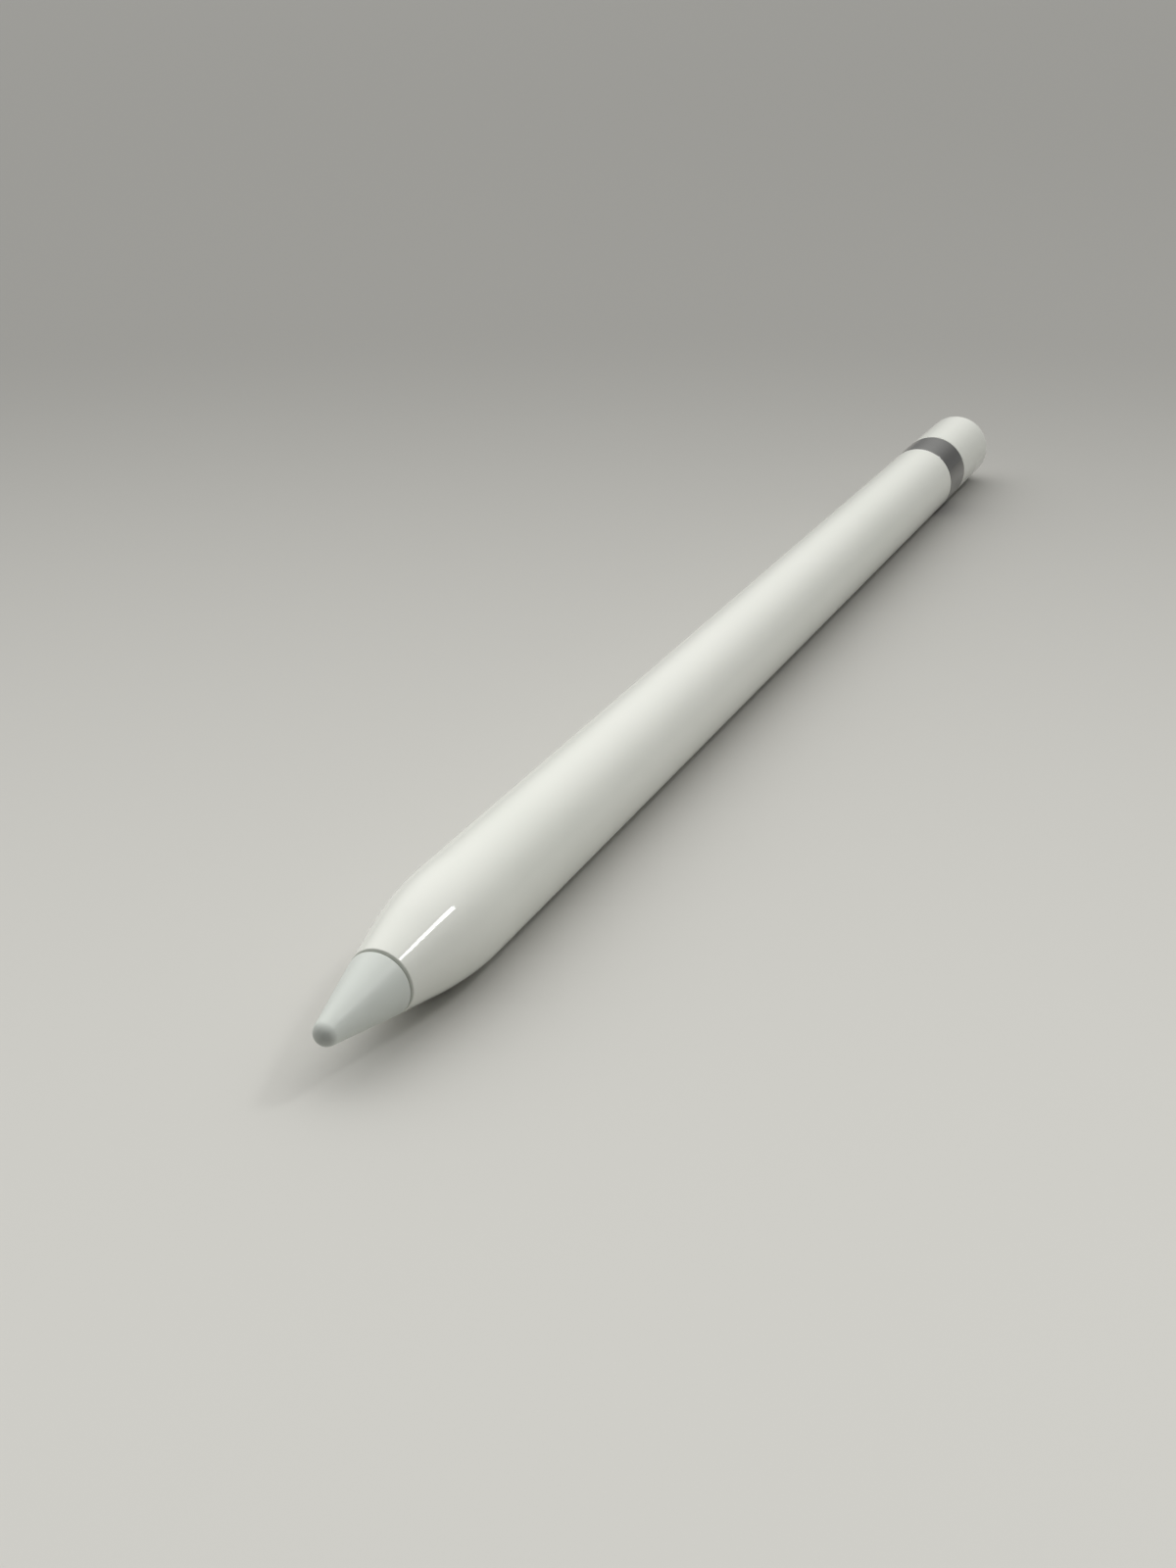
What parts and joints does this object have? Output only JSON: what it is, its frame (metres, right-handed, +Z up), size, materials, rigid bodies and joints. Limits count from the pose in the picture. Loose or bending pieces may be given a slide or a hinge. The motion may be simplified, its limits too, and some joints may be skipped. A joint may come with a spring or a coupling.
{
  "type": "stylus",
  "caption": "Slim round stylus for a touch screen, with a screw-on pressure-sensing nib, a tapered barrel, a metal ring and a pull-off cap over its charging plug.",
  "frame": {"origin": "under the middle of the stylus, on the surface that it lies on", "axes": "+X along the barrel, from the nib to the cap, and +Z up"},
  "size_m": [0.1756, 0.0088, 0.0089],
  "materials": {
    "barrel_white": "polished white plastic",
    "nib_white": "satin white plastic",
    "ring_metal": "polished steel",
    "brass": "turned brass",
    "carbon_black": "carbon-filled plastic",
    "stem_steel": "turned steel",
    "spring_steel": "rolled spring steel",
    "frame_steel": "folded steel sheet",
    "inner_white": "moulded plastic",
    "copper": "copper foil",
    "board_green": "solder mask",
    "lead_amber": "amber film",
    "chip_black": "moulded black package",
    "capacitor_tan": "fired ceramic",
    "cell_foil": "drawn can",
    "nickel": "nickel strip",
    "plug_white": "moulded plastic",
    "plug_steel": "bead-blasted steel",
    "plug_grey": "moulded dark plastic",
    "contact_gold": "gold plate",
    "magnet_nickel": "nickel plate"
  },
  "bodies": {
    "barrel": {"barrel": "barrel_white", "nose_bush": "inner_white", "tilt_ring": "copper", "sensor_cup": "stem_steel", "sensor_flexure": "spring_steel", "gauge_board": "board_green", "sensor_flex": "lead_amber", "antenna_carrier": "inner_white", "antenna_film": "copper", "inner_frame": "frame_steel", "lower_board": "board_green", "upper_board": "board_green", "board_fold": "lead_amber", "board_spacers": "chip_black", "processor_chip": "chip_black", "radio_chip": "chip_black", "motion_chip": "chip_black", "power_chip": "chip_black", "capacitors": "capacitor_tan", "battery_board": "board_green", "battery_cell": "cell_foil", "battery_tab": "nickel", "charge_flex": "lead_amber", "trim_ring": "ring_metal", "plug_carrier": "plug_white", "plug_board": "board_green", "plug_shell": "plug_steel", "plug_bed": "plug_grey", "plug_contacts": "contact_gold"},
    "stem": {"stem": "stem_steel"},
    "nib_core": {"nib_core": "carbon_black"},
    "nib": {"nib": "nib_white", "nib_insert": "brass"},
    "cap_magnet": {"cap_magnet": "magnet_nickel"},
    "cap": {"cap_shell": "barrel_white", "cap_liner": "inner_white", "cap_retainer": "ring_metal"}
  },
  "joints": [
    {"name": "nib_press", "type": "slide", "parent": "barrel", "child": "stem", "axis": [1, 0, 0], "range_m": [0, 0.00015], "stiffness_N_per_m": 60, "deforming": ["sensor_flexure"]},
    {"name": "nib_lift", "type": "slide", "parent": "stem", "child": "nib_core", "axis": [-1, 0, 0], "range_m": [0, 0.005]},
    {"name": "nib_turn", "type": "hinge", "parent": "nib_core", "child": "nib", "pos_m": [-0.08, 0, 0.00445], "axis": [-1, 0, 0], "range_deg": [0, 3601]},
    {"name": "cap_pull", "type": "slide", "parent": "barrel", "child": "cap_magnet", "axis": [1, 0, 0], "range_m": [0, 0.02]},
    {"name": "cap_spin", "type": "hinge", "parent": "cap_magnet", "child": "cap", "pos_m": [0.08, 0, 0.00445], "axis": [1, 0, 0], "continuous": true}
  ],
  "couplings": [
    {"joint": "nib_turn", "follows": "nib_lift", "rad_per_m": 12566}
  ]
}
